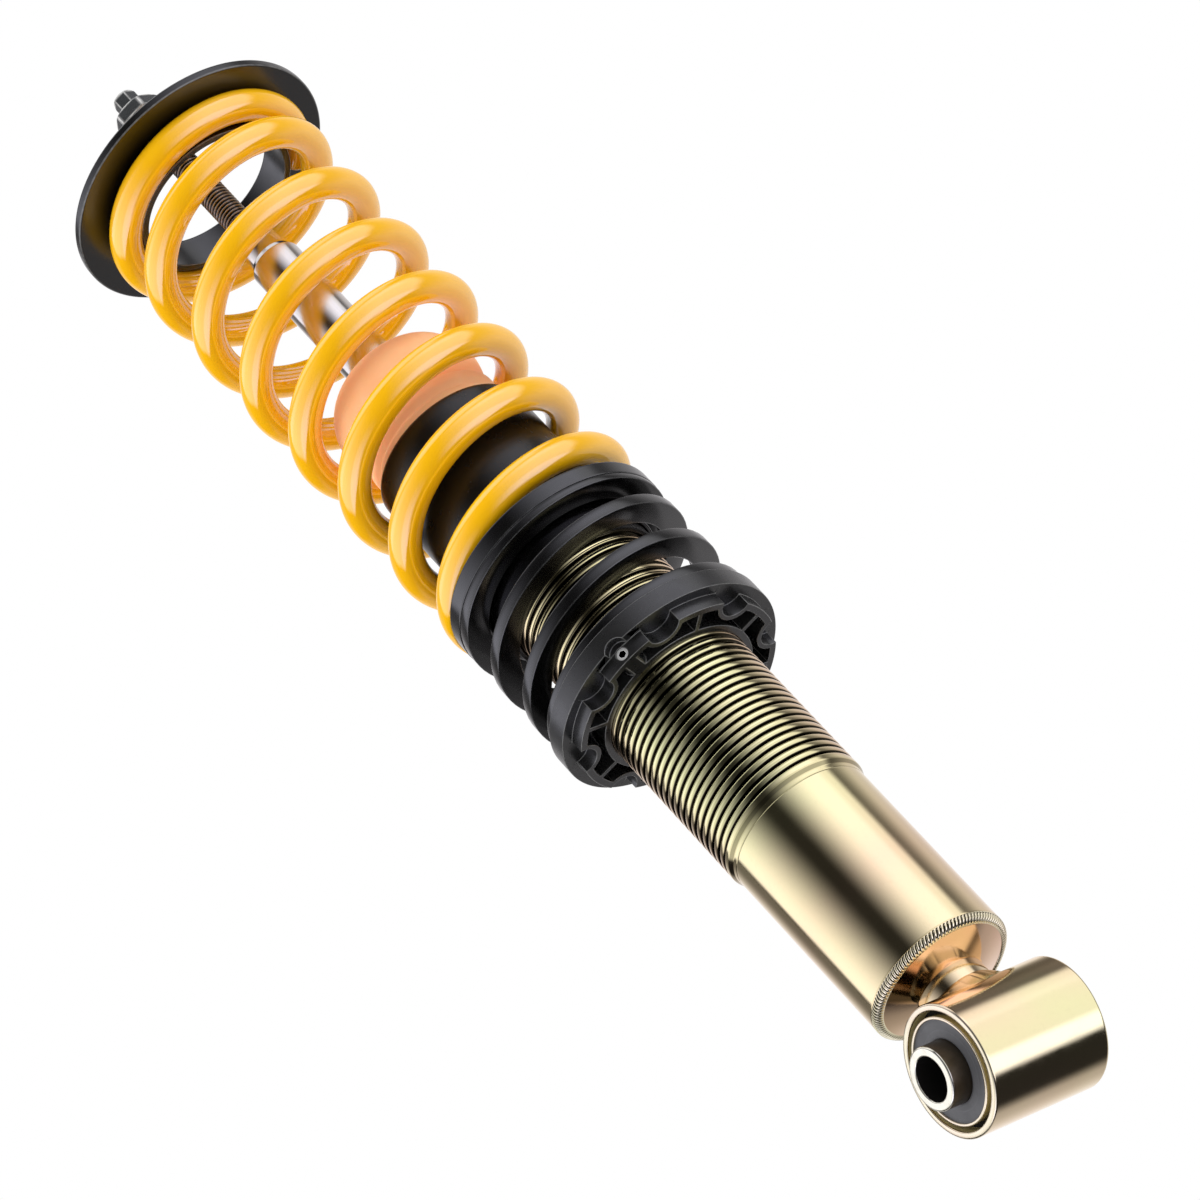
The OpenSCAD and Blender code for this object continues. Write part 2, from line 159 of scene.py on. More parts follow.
def spun(outline, segments, closed=True):
    """Vertices, faces and wear of an outline of (r, z, worn) turned round Z."""
    verts, faces, wear_and_painted_light, rings = [], [], [], []
    for r, z, w in outline:
        if r < NO_RADIUS:
            rings.append([len(verts)] * segments)
            verts.append((0.0, 0.0, z))
            wear_and_painted_light.append(w)
            continue
        rings.append(list(range(len(verts), len(verts) + segments)))
        for i in range(segments):
            a = TAU * i / segments
            verts.append((r * math.cos(a), r * math.sin(a), z))
            wear_and_painted_light.append(w)
    pairs = len(rings) if closed else len(rings) - 1
    for k in range(pairs):
        low, high = rings[k], rings[(k + 1) % len(rings)]
        for i in range(segments):
            j = (i + 1) % segments
            corners = [low[i], low[j], high[j], high[i]]
            unique = []
            for c in corners:
                if c not in unique:
                    unique.append(c)
            if len(unique) > 2:
                faces.append(unique)
    return verts, faces, wear_and_painted_light


def along_y(verts):
    """Turns what was made round Z so that it lies round Y."""
    return [(x, -z, y) for x, y, z in verts]


def lathe(name, points, material, body, slot, replaces=(), segments=160, on_y=False, steps=4):
    """A piece turned round Z, or round Y, from the points that rounded() takes."""
    verts, faces, wear_and_painted_light = spun(rounded(points, steps), segments)
    if on_y:
        verts = along_y(verts)
    return make(name, verts, faces, material, body, slot, replaces, wear_and_painted_light)


def helical_skin(major, depth, pitch, low, high, shape, segments, fade):
    """A right-hand thread between two heights. shape lists (share of a pitch, share of the depth).

    worn is high on the crest and goes below 0 down the flanks, where it paints the thread dark as painted
    shade.
    """
    k = len(shape)
    turns = int((high - low) / pitch) + 3
    verts, faces, wear_and_painted_light = [], [], []
    rows = turns * k
    for i in range(segments + 1):
        angle = TAU * i / segments
        for j in range(rows):
            share, cut = shape[j % k]
            z = low - pitch * 1.5 + pitch * (j // k + share + i / segments)
            reach = smoothstep(low, low + fade, z) * (1 - smoothstep(high - fade, high, z))
            r = major - depth * cut * reach
            z = min(high, max(low, z))
            verts.append((r * math.cos(angle), r * math.sin(angle), z))
            # crest wear above 0; painted shade down the flanks below 0
            wear_and_painted_light.append((1 - CREST_FADE * cut if cut < CREST_CUT else -FLANK_FADE * cut) * reach)
    for i in range(segments):
        for j in range(rows - 1):
            a = i * rows + j
            faces.append((a, a + rows, a + rows + 1, a + 1))
    return verts, faces, wear_and_painted_light


def joined(*parts):
    """Several (verts, faces, worn) as one."""
    verts, faces, wear_and_painted_light = [], [], []
    for v, f, w in parts:
        base = len(verts)
        verts += v
        wear_and_painted_light += w
        faces += [[i + base for i in face] for face in f]
    return verts, faces, wear_and_painted_light


def swept(sections):
    """A closed skin along a list of rings of the same number of points."""
    n = len(sections[0])
    verts = [p for ring in sections for p in ring]
    faces = []
    for i in range(len(sections) - 1):
        for k in range(n):
            a, b = i * n + k, i * n + (k + 1) % n
            faces.append((a, b, b + n, a + n))
    faces.append(list(range(n))[::-1])
    last = (len(sections) - 1) * n
    faces.append(list(range(last, last + n)))
    return verts, faces


CORNER_SPAN = 5.5         # degrees each side of a hexagon's corner that are blunted
CORNER_WEAR_AND_GLINT_SPAN = 5.0


def hexagonal(flats, rows, turn, soft, per_side=14):
    """A hexagonal body. rows lists (radius limit, z) or (radius limit, z, wear), the wear also standing for
    painted edge highlight.

    Each row is the hexagon cut back to its radius limit.
    """
    verts, faces, wear_and_painted_light = [], [], []
    corner = flats / math.sqrt(3)
    angles = []
    for side in range(6):
        for s in range(per_side):
            t = s / per_side
            angles.append(side * 60 + 60 * (0.5 - 0.5 * math.cos(math.pi * t)))
    n = len(angles)
    for limit, z, *ridge in rows:
        for a in angles:
            local = math.radians((a % 60) - 30)
            r = flats / 2 / math.cos(local)
            near_corner = 30 - abs((a % 60) - 30)
            r = min(r, corner - soft * (1 - smoothstep(0, CORNER_SPAN, near_corner)))
            r = min(r, limit)
            t = math.radians(a + turn)
            verts.append((r * math.cos(t), r * math.sin(t), z))
            # corners paler: wear together with painted edge highlight
            edge = 1 - smoothstep(0, CORNER_WEAR_AND_GLINT_SPAN, near_corner)
            wear_and_painted_light.append(max(edge, ridge[0] if ridge else 0.0))
    for k in range(len(rows)):
        low, high = k * n, ((k + 1) % len(rows)) * n
        for i in range(n):
            j = (i + 1) % n
            faces.append((low + i, low + j, high + j, high + i))
    return verts, faces, wear_and_painted_light


SAME_PLACE = 2e-6         # metres: vertices of a CAD mesh this close are one
SLIVER = 1e-6             # metres: an edge shorter than this is a leftover of closing up
FLAT_ANGLE = math.radians(0.6)
SHORT_SHARE = 0.6         # edges shorter than this share of the rounding are closed up first


def refined(name, node, width, material, body, segments=3, angle=28.0):
    """A copy of a CAD node with its flat faces joined up and its edges rounded."""
    bm = bmesh.new()
    bm.from_mesh(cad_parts[node].data)
    bmesh.ops.remove_doubles(bm, verts=bm.verts, dist=SAME_PLACE)
    bmesh.ops.dissolve_limit(bm, angle_limit=FLAT_ANGLE, verts=bm.verts, edges=bm.edges)
    bmesh.ops.remove_doubles(bm, verts=bm.verts, dist=width * MM * SHORT_SHARE)
    bmesh.ops.dissolve_degenerate(bm, edges=bm.edges, dist=SLIVER)
    layer = bm.verts.layers.float.new("wear_and_painted_light")
    hard = [e for e in bm.edges if len(e.link_faces) == 2 and e.calc_face_angle(0.0) > math.radians(angle)]
    bevelled = bmesh.ops.bevel(bm, geom=hard, offset=width * MM, offset_type="OFFSET", segments=segments,
                               profile=0.5, affect="EDGES", clamp_overlap=False, material=-1)
    strips = set(bevelled["faces"])
    for v in bm.verts:
        if all(face in strips for face in v.link_faces):
            v[layer] = 1.0
    bmesh.ops.recalc_face_normals(bm, faces=bm.faces)
    mesh = bpy.data.meshes.new(name)
    bm.to_mesh(mesh)
    bm.free()
    mesh.shade_smooth()
    mesh.set_sharp_from_angle(angle=math.radians(40))
    obj = bpy.data.objects.new(name, mesh)
    bpy.context.scene.collection.objects.link(obj)
    mesh.materials.append(material)
    weighted = obj.modifiers.new("weighted", "WEIGHTED_NORMAL")
    weighted.keep_sharp = True
    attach(obj, body)
    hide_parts(node)
    return obj


# ---------------- materials
class Shader:
    """A node material in short steps. Positions are the part's own, in metres."""

    def __init__(self, name):
        self.material = bpy.data.materials.new(name)
        self.material.use_nodes = True
        self.tree = self.material.node_tree
        self.bsdf = self.tree.nodes["Principled BSDF"]
        self.where = self.tree.nodes.new("ShaderNodeTexCoord").outputs["Object"]

    def node(self, kind, **inputs):
        node = self.tree.nodes.new(kind)
        for key, value in inputs.items():
            self.set(node, key.replace("_", " "), value)
        return node

    def set(self, node, key, value):
        socket = node.inputs[key]
        if isinstance(value, bpy.types.NodeSocket):
            self.tree.links.new(value, socket)
        else:
            socket.default_value = value

    def stretched(self, x, y, z):
        mapping = self.node("ShaderNodeMapping", Vector=self.where, Scale=(x, y, z))
        return mapping.outputs["Vector"]

    def noise(self, scale, detail=3.0, rough=0.5, where=None):
        node = self.node("ShaderNodeTexNoise", Vector=where or self.where, Scale=scale, Detail=detail,
                         Roughness=rough)
        return node.outputs["Fac"]

    def ramp(self, fac, stops):
        node = self.node("ShaderNodeValToRGB", Fac=fac)
        ramp = node.color_ramp
        while len(ramp.elements) > 1:
            ramp.elements.remove(ramp.elements[-1])
        for i, (at, colour) in enumerate(stops):
            element = ramp.elements[0] if i == 0 else ramp.elements.new(at)
            element.position = at
            element.color = (*colour, 1.0)
        return node.outputs["Color"]

    def span(self, value, low, high, to_low, to_high, smooth=False):
        node = self.tree.nodes.new("ShaderNodeMapRange")
        if smooth:
            node.interpolation_type = "SMOOTHSTEP"
        for index, v in enumerate((value, low, high, to_low, to_high)):
            self.set(node, index, v)
        return node.outputs["Result"]

    def maths(self, operation, a, b):
        node = self.tree.nodes.new("ShaderNodeMath")
        node.operation = operation
        for index, v in enumerate((a, b)):
            self.set(node, index, v)
        return node.outputs["Value"]

    def mix(self, fac, a, b):
        node = self.tree.nodes.new("ShaderNodeMix")
        node.data_type = "RGBA"
        self.set(node, 0, fac)
        for index, v in ((6, a), (7, b)):
            self.set(node, index, v if isinstance(v, bpy.types.NodeSocket) else (*v, 1.0))
        return node.outputs[2]

    def wear_and_painted_light(self):
        node = self.tree.nodes.new("ShaderNodeAttribute")
        node.attribute_name = "wear_and_painted_light"
        return self.span(node.outputs["Fac"], 0.0, 1.0, 0.0, 1.0)

    def shade_mask(self, low, high):
        """0 to 1 where the worn value is negative: how much painted shade a groove, hollow or patch gets."""
        node = self.tree.nodes.new("ShaderNodeAttribute")
        node.attribute_name = "wear_and_painted_light"
        return self.span(self.maths("MULTIPLY", node.outputs["Fac"], -1.0), low, high, 0.0, 1.0, smooth=True)

    def bump(self, height, strength, distance):
        node = self.node("ShaderNodeBump", Height=height, Strength=strength, Distance=distance)
        self.tree.links.new(node.outputs["Normal"], self.bsdf.inputs["Normal"])
        return node.outputs["Normal"]

    def finish(self, **sockets):
        names = {"color": "Base Color", "rough": "Roughness", "metal": "Metallic", "ior": "IOR",
                 "coat": "Coat Weight", "coat_rough": "Coat Roughness", "coat_ior": "Coat IOR",
                 "specular": "Specular IOR Level", "sheen": "Sheen Weight", "sheen_rough": "Sheen Roughness",
                 "subsurface": "Subsurface Weight", "subsurface_scale": "Subsurface Scale"}
        for key, value in sockets.items():
            if key == "color" and not isinstance(value, bpy.types.NodeSocket):
                value = (*value, 1.0)
            self.set(self.bsdf, names[key], value)
        return self.material


# painted sheen: the plate is tinted pink on the sides facing away from this azimuth, as a grazing-angle
# reflection
PAINTED_SHEEN_AZIMUTH = math.radians(-39.0)
PINK_SHEEN_COLOUR = (0.92, 0.62, 0.45)
GRIME = (0.45, 0.36, 0.2)
PAINTED_SHADE_COLOUR = (0.026, 0.021, 0.010)


def plated(name, pale, green, pink, rough, ripple=0.0, heights=None, deep=(0.10, 0.50), painted_sheen=0.0):
    """Bright yellow zinc plate: a mirror that drifts between pale gold, green-gold and pink.

    heights lists (z in mm, colour) where the plating bath left a hue of its own. deep is the range of groove
    values over which painted shade turns the plate dark. flushed is how far a painted pink sheen covers the
    two sides that face away from one azimuth, as a reflection at grazing angles would.
    """
    s = Shader(name)
    drift = s.noise(24.0, 1.0, 0.4, where=s.stretched(1.0, 1.0, 0.8))
    color = s.ramp(drift, [(0.36, green), (0.47, pale), (0.53, pale), (0.64, pink)])
    if heights:
        low, high = heights[0][0], heights[-1][0]
        z = s.tree.nodes.new("ShaderNodeSeparateXYZ")
        s.tree.links.new(s.where, z.inputs[0])
        wavy = s.maths("ADD", z.outputs["Z"], s.span(s.noise(30.0, 1.0, 0.4), 0.0, 1.0, -0.006, 0.006))
        along = s.span(wavy, low * MM, high * MM, 0.0, 1.0)
        color = s.mix(0.65, color, s.ramp(along, [((at - low) / (high - low), hue) for at, hue in heights]))
    # painted sheen: pink laid down the two sides seen edge-on from that azimuth
    if painted_sheen:
        way = s.tree.nodes.new("ShaderNodeSeparateXYZ")
        s.tree.links.new(s.where, way.inputs[0])
        across = s.maths("ADD", s.maths("MULTIPLY", way.outputs["X"], math.cos(PAINTED_SHEEN_AZIMUTH)),
                         s.maths("MULTIPLY", way.outputs["Y"], math.sin(PAINTED_SHEEN_AZIMUTH)))
        sides = s.span(across, 0.006, 0.022, painted_sheen, 0.0, smooth=True)
        color = s.mix(sides, color, PINK_SHEEN_COLOUR)
    grime = s.noise(900.0, 4.0, 0.6)
    color = s.mix(s.span(grime, 0.55, 0.8, 0.0, 0.10), color, GRIME)
    # painted shade: grooves, weld hollows, the tube's run-out and the cap's patch go dark where the wear
    # value is below 0
    color = s.mix(s.shade_mask(*deep), color, PAINTED_SHADE_COLOUR)
    s.bump(s.noise(2600.0, 3.0, 0.6), 0.03 + ripple, 0.0001)
    uneven = s.span(s.noise(140.0, 3.0), 0.3, 0.7, rough - 0.02, rough + 0.035)
    return s.finish(color=color, metal=1.0, rough=uneven)


def coated(name, base, dark):
    """Glossy powder coat with a slight orange peel."""
    s = Shader(name)
    mottled = s.mix(s.span(s.noise(90.0, 3.0), 0.35, 0.7, 0.0, 0.35), base, dark)
    peel = s.noise(520.0, 2.0, 0.5)
    s.bump(peel, 0.012, 0.0004)
    uneven = s.span(s.noise(300.0, 3.0), 0.3, 0.7, 0.30, 0.38)
    return s.finish(color=mottled, rough=uneven, coat=1.0, coat_rough=0.03, coat_ior=2.4, specular=0.0)


def dark_coat(name, base, edge, rough_low, rough_high, grain, strength, specular=0.5, ior=1.5):
    """Satin black coat or moulded plastic, paler along its edges: edge wear together with painted edge
    highlight.
    """
    s = Shader(name)
    rub_and_glint = s.maths("MULTIPLY", s.wear_and_painted_light(), s.span(s.noise(420.0, 4.0, 0.65), 0.3, 0.7, 0.35, 1.0))
    mottled = s.mix(s.span(s.noise(70.0, 4.0), 0.35, 0.75, 0.0, 1.0), base, tuple(c * 1.35 for c in base))
    color = s.mix(rub_and_glint, mottled, edge)
    s.bump(s.noise(grain, 3.0, 0.6), strength, 0.0002)
    uneven = s.span(s.noise(240.0, 4.0), 0.3, 0.7, rough_low, rough_high)
    return s.finish(color=color, rough=uneven, specular=specular, ior=ior)


def bright_metal(name, base, rough, edge_wear_and_glint=None, streak=None, bump=0.04):
    """Chrome or plain steel, with fine marks; worn edges can be paler, as wear together with painted edge
    highlight, and thread flanks go dark as painted shade.
    """
    s = Shader(name)
    where = s.stretched(*streak) if streak else s.where
    marks = s.noise(900.0, 4.0, 0.6, where=where)
    color = s.mix(s.span(marks, 0.45, 0.75, 0.0, 0.25), base, tuple(c * 0.72 for c in base))
    if edge_wear_and_glint:
        color = s.mix(s.wear_and_painted_light(), color, edge_wear_and_glint)
    # painted shade down the thread's flanks
    color = s.mix(s.shade_mask(0.15, 0.7), color, tuple(c * 0.12 for c in base))
    s.bump(marks, bump, 0.00012)
    uneven = s.span(s.noise(350.0, 3.0, where=where), 0.3, 0.7, rough * 0.8, rough * 1.3)
    return s.finish(color=color, metal=1.0, rough=uneven)


PALE, GREEN, PINK = (0.95, 0.79, 0.48), (0.89, 0.84, 0.45), (0.98, 0.70, 0.47)
TUBE_HUES = [(30.0, (0.95, 0.82, 0.48)), (45.0, PALE), (64.0, (0.96, 0.74, 0.47)), (82.0, (0.93, 0.80, 0.47)),
             (96.0, (0.88, 0.86, 0.46)), (110.0, (0.88, 0.86, 0.46))]
EYE_HUES = [(-21.0, (0.96, 0.78, 0.55)), (-15.0, (0.90, 0.84, 0.50)), (-9.0, (0.92, 0.86, 0.50)),
            (-1.0, (0.96, 0.82, 0.52)), (6.0, (0.97, 0.74, 0.49)), (21.0, (0.95, 0.76, 0.46))]
THREAD_HUES = [(100.0, (0.86, 0.86, 0.46)), (150.0, (0.86, 0.85, 0.46)), (170.0, (0.90, 0.80, 0.46)),
               (225.0, (0.92, 0.78, 0.45))]
ZINC = plated("zinc_plate", PALE, GREEN, PINK, 0.10, heights=TUBE_HUES, painted_sheen=0.38)
ZINC_EYE = plated("zinc_plate_eye", PALE, GREEN, PINK, 0.10, heights=EYE_HUES)
ZINC_THREAD = plated("zinc_plate_thread", (0.89, 0.81, 0.46), (0.84, 0.84, 0.45), (0.93, 0.74, 0.46), 0.11,
                     heights=THREAD_HUES, deep=(0.03, 0.40), painted_sheen=0.75)
ZINC_FACE = plated("zinc_plate_face", (0.95, 0.86, 0.62), (0.92, 0.88, 0.60), (0.97, 0.82, 0.62), 0.22)
WELD = plated("weld_bead", (0.98, 0.88, 0.62), (0.94, 0.88, 0.58), (0.99, 0.84, 0.60), 0.09,
              deep=(0.06, 0.42))
WELD_DARK = plated("neck_weld", (0.72, 0.60, 0.34), (0.62, 0.56, 0.30), (0.74, 0.54, 0.34), 0.16, ripple=0.03)
CAP_PLATE = plated("zinc_plate_cap", (0.88, 0.61, 0.41), (0.84, 0.62, 0.38), (0.90, 0.58, 0.42), 0.10)
SLEEVE_FACE = bright_metal("sleeve_steel_face", (0.93, 0.89, 0.72), 0.20, edge_wear_and_glint=(0.97, 0.94, 0.80),
                           bump=0.01)
SLEEVE_SIDE = bright_metal("sleeve_steel_side", (0.15, 0.12, 0.085), 0.36, edge_wear_and_glint=(0.80, 0.76, 0.66),
                           bump=0.5)
# the eye's groove wall: dull plate, darkened further as painted shade in the recess
GROOVE_WALL_DULL_AND_SHADED = dark_coat("dull_zinc_groove_painted_shade", (0.40, 0.345, 0.17), (0.48, 0.42, 0.22), 0.35, 0.5, 1500.0, 0.05)
# painted shade: the bores are given a near-black material
BORE_SHADE = dark_coat("bore_painted_shade", (0.008, 0.007, 0.006), (0.02, 0.02, 0.02), 0.55, 0.7, 1500.0, 0.1,
                      specular=0.15)
SPRING = coated("spring_powder_coat", (0.98, 0.515, 0.004), (0.93, 0.46, 0.003))
BLACK_STEEL = dark_coat("black_satin_steel", (0.0022, 0.0022, 0.0023), (0.05, 0.05, 0.05), 0.16, 0.22, 1500.0,
                        0.02, ior=1.80)
PERCH_BLACK = dark_coat("black_perch_coat", (0.003, 0.0028, 0.0025), (0.16, 0.16, 0.16), 0.20, 0.27, 1200.0,
                        0.008, ior=1.76)
COLLAR_NYLON = dark_coat("glass_filled_nylon", (0.010, 0.010, 0.010), (0.17, 0.17, 0.165), 0.24, 0.31, 2600.0,
                         0.05, ior=1.72)
SLEEVE_NYLON = dark_coat("sleeve_plastic", (0.0045, 0.0038, 0.0032), (0.03, 0.029, 0.028), 0.24, 0.28, 1800.0,
                         0.012)
CHROME = bright_metal("hard_chrome", (0.78, 0.74, 0.70), 0.14, streak=(1.0, 1.0, 0.05), bump=0.01)
STUD_STEEL = bright_metal("dark_thread_steel", (0.25, 0.235, 0.22), 0.30, edge_wear_and_glint=(0.40, 0.36, 0.33))
NUT_STEEL = dark_coat("black_oxide_nut", (0.032, 0.034, 0.036), (0.80, 0.79, 0.77), 0.22, 0.32, 1500.0, 0.03,
                      ior=1.8)
SCREW_STEEL = dark_coat("screw_steel", (0.42, 0.42, 0.42), (0.98, 0.98, 0.98), 0.25, 0.35, 1500.0, 0.02,
                        ior=2.2)
SOCKET_SHADE = bright_metal("screw_socket_painted_shade", (0.05, 0.05, 0.05), 0.2)
INNER_STEEL = bright_metal("inner_steel", (0.58, 0.58, 0.60), 0.25)
INNER_ALLOY = bright_metal("inner_alloy", (0.68, 0.69, 0.71), 0.38)
BRONZE = bright_metal("bush_bronze", (0.62, 0.44, 0.22), 0.34)
RUBBER = dark_coat("bush_rubber", (0.090, 0.090, 0.096), (0.12, 0.12, 0.13), 0.55, 0.75, 1800.0, 0.3)
SEAL_RUBBER = dark_coat("seal_rubber", (0.02, 0.02, 0.02), (0.04, 0.04, 0.04), 0.5, 0.7, 1500.0, 0.3)
BAND = dark_coat("band_polymer", (0.62, 0.60, 0.52), (0.7, 0.68, 0.6), 0.4, 0.55, 1500.0, 0.2)


def foam_material():
    s = Shader("peach_foam")
    cells = s.node("ShaderNodeTexVoronoi", Vector=s.where, Scale=1500.0).outputs["Distance"]
    blotch = s.noise(120.0, 3.0, 0.5)
    color = s.ramp(blotch, [(0.3, (0.99, 0.53, 0.26)), (0.6, (1.0, 0.56, 0.29)), (0.8, (1.0, 0.61, 0.34))])
    color = s.mix(s.span(cells, 0.0, 0.25, 0.12, 0.0), color, (0.80, 0.34, 0.15))
    s.bump(cells, 0.18, 0.0002)
    return s.finish(color=color, rough=s.span(blotch, 0.3, 0.7, 0.55, 0.7), subsurface=0.25,
                    subsurface_scale=0.004, sheen=0.15, sheen_rough=0.5)


FOAM = foam_material()

# ---------------- lower eye and bush
EYE_R = 21.147
EYE_HALF = 22.15
GROOVE = 5.0              # depth of the gap between the eye tube and the bush sleeve
EYE_BORE_R = 17.2
GROOVE_R = 18.9
FACE_DEPTH = 0.5          # polygons this close to an end belong to its turned face
eye_tube = lathe("eye_tube_turned", [
    (EYE_BORE_R, -EYE_HALF + GROOVE), (GROOVE_R, -EYE_HALF + GROOVE - 0.4, 0.3), (GROOVE_R, -EYE_HALF, 0.4),
    (EYE_R, -EYE_HALF, 0.75), (EYE_R, EYE_HALF, 0.75), (GROOVE_R, EYE_HALF, 0.4),
    (GROOVE_R, EYE_HALF - GROOVE + 0.4, 0.3), (EYE_BORE_R, EYE_HALF - GROOVE)],
    ZINC_EYE, "damper_body", "zinc_steel", ["eye_tube"], segments=224, on_y=True)
eye_tube.data.materials.append(BORE_SHADE)
eye_tube.data.materials.append(ZINC_FACE)
eye_tube.data.materials.append(GROOVE_WALL_DULL_AND_SHADED)
for polygon in eye_tube.data.polygons:
    x, y, z = polygon.center
    if math.hypot(x, z) < (GROOVE_R - 0.1) * MM:
        polygon.material_index = 1
    elif abs(y) < (EYE_HALF - 0.6) * MM and math.hypot(x, z) < (GROOVE_R + 0.3) * MM:
        polygon.material_index = 3
    elif abs(y) > (EYE_HALF - FACE_DEPTH) * MM:
        polygon.material_index = 2
RUBBER_R = 16.2
lathe("bush_outer_sleeve_turned", [
    (RUBBER_R, -EYE_HALF, 0.2), (17.15, -EYE_HALF, 0.35), (17.15, EYE_HALF, 0.35), (RUBBER_R, EYE_HALF, 0.2)],
    ZINC_FACE, "damper_body", "bush_steel", ["bush_outer_sleeve"], segments=192, on_y=True)
RUBBER_HALF = EYE_HALF - 0.8
lathe("bush_rubber_moulded", [
    (10.15, -RUBBER_HALF - 0.35, 0.3), (11.0, -RUBBER_HALF - 0.35, 0.3), (12.6, -RUBBER_HALF + 0.25, 1.2),
    (15.2, -RUBBER_HALF + 0.1, 0.6), (RUBBER_R, -RUBBER_HALF - 0.15), (RUBBER_R, RUBBER_HALF + 0.15),
    (15.2, RUBBER_HALF - 0.1, 0.6), (12.6, RUBBER_HALF - 0.25, 1.2), (11.0, RUBBER_HALF + 0.35, 0.3),
    (10.15, RUBBER_HALF + 0.35, 0.3)],
    RUBBER, "damper_body", "bush_rubber", ["bush_rubber"], segments=160, on_y=True)
SLEEVE_HALF = 29
SLEEVE_R = 10.1
SLEEVE_BORE_R = 7.1
inner_sleeve = lathe("bush_inner_sleeve_turned", [
    (SLEEVE_BORE_R, -SLEEVE_HALF, 0.5), (SLEEVE_R, -SLEEVE_HALF, 0.7), (SLEEVE_R, SLEEVE_HALF, 0.7),
    (SLEEVE_BORE_R, SLEEVE_HALF, 0.5)],
    SLEEVE_SIDE, "bush_core", "bush_steel", ["bush_inner_sleeve"], segments=128, on_y=True, steps=6)
inner_sleeve.data.materials.append(SLEEVE_FACE)
inner_sleeve.data.materials.append(BORE_SHADE)
for polygon in inner_sleeve.data.polygons:
    x, y, z = polygon.center
    if abs(y) > (SLEEVE_HALF - 0.45) * MM:
        polygon.material_index = 1
    elif math.hypot(x, z) < (SLEEVE_BORE_R + 0.2) * MM:
        polygon.material_index = 2

# ---------------- neck, cap and their welds
NECK_R = 12.2
CAP_LOW_Z = 26.7


def on_eye(x):
    """Height of the eye tube's top surface at that distance from the damper axis."""
    return math.sqrt(max(0.0, EYE_R ** 2 - x * x))


def neck_skin(segments=160, rows=14):
    """The neck, from just inside the eye tube's curved top to just inside the cap."""
    verts, faces = [], []
    for k in range(rows + 1):
        for i in range(segments):
            a = TAU * i / segments
            low = on_eye(NECK_R * math.cos(a)) - 0.3
            t = k / rows
            z = low + (CAP_LOW_Z + 0.15 - low) * t
            r = NECK_R - 0.15
            verts.append((r * math.cos(a), r * math.sin(a), z))
    for k in range(rows):
        for i in range(segments):
            j = (i + 1) % segments
            low, high = k * segments, (k + 1) * segments
            faces.append((low + i, low + j, high + j, high + i))
    for row in (0, rows):
        faces.append([row * segments + i for i in range(segments)])
    return verts, faces


make("eye_neck_turned", *neck_skin(), ZINC, "damper_body", "zinc_steel", ["eye_neck"], sharp=60)


def lumpy(a, count, t, lean):
    """0 to 1: how far a weld ripple stands proud at an azimuth. The ripples lean as t crosses the bead."""
    phase = (a / TAU * count + lean * t) % 1.0
    return 1 - abs(2 * phase - 1) ** 2.6


def weld_ring(low_edge, high_edge, steps, count, depth, lean, bow, segments=600):
    """A weld between two edge curves, functions of the azimuth giving (r, z). bow is how far it bulges."""
    verts, faces = [], []
    for i in range(segments):
        a = TAU * i / segments
        (r0, z0), (r1, z1) = low_edge(a), high_edge(a)
        out = Vector((abs(z1 - z0), abs(r1 - r0))).normalized()
        for k in range(steps + 1):
            t = k / steps
            arch = math.sin(math.pi * t)
            lift = arch * bow + depth * (lumpy(a, count, t, lean) - 1) * arch ** 0.5
            r = r0 + (r1 - r0) * t + out.x * lift
            z = z0 + (z1 - z0) * t + out.y * lift
            verts.append((r * math.cos(a), r * math.sin(a), z))
    n = steps + 1
    for i in range(segments):
        j = (i + 1) % segments
        for k in range(n):
            m = (k + 1) % n
            faces.append((i * n + k, j * n + k, j * n + m, i * n + m))
    return verts, faces


def foot_low(a):
    """The neck weld's edge on the eye tube."""
    r = NECK_R + 2.5
    return r, on_eye(r * math.cos(a)) - 0.12


def foot_high(a):
    """The neck weld's edge on the neck."""
    return NECK_R - 0.35, max(on_eye(NECK_R * math.cos(a)) + 1.2, 21.3)


verts, faces = weld_ring(foot_low, foot_high, steps=10, count=17, depth=0.16, lean=0.25, bow=0.30)
make("neck_weld_beads", verts, faces, WELD_DARK, "damper_body", "weld_metal", ["neck_welds"], sharp=60)

cap = lathe("base_cap_pressed", [
    (0, CAP_LOW_Z), (0, 38.0), (22.0, 38.0, 1.0), (22.0, 32.6), (22.4, 30.34), (17.0, 28.41),
    (NECK_R, CAP_LOW_Z)],
    CAP_PLATE, "damper_body", "zinc_steel", ["base_cap"], segments=192)
# painted shade: a dark patch on one side of the cap, between these azimuths, standing in for a darker
# reflection there
CAP_SHADE_RISE = (-98.0, -86.0)
CAP_SHADE_FALL = (-62.0, -44.0)
CAP_SHADE_DEPTH = 0.42
CAP_SKIN_Z = 31.0         # all of the cap that shows is below this
for vertex in cap.data.vertices:
    azimuth = math.degrees(math.atan2(vertex.co.y, vertex.co.x))
    if vertex.co.z < CAP_SKIN_Z * MM:
        # the patch is painted shade, laid in as a negative wear value
        cap_shade = smoothstep(*CAP_SHADE_RISE, azimuth) * (1 - smoothstep(*CAP_SHADE_FALL, azimuth))
        cap.data.attributes["wear_and_painted_light"].data[vertex.index].value = -CAP_SHADE_DEPTH * cap_shade


BEAD_R, BEAD_Z = 22.4, 33.2     # the hollows between ripples are pressed in towards here
HOLLOW_START = 0.72             # a hollow runs from this share of a ripple
HOLLOW_END = 0.18               # to this share of the next one


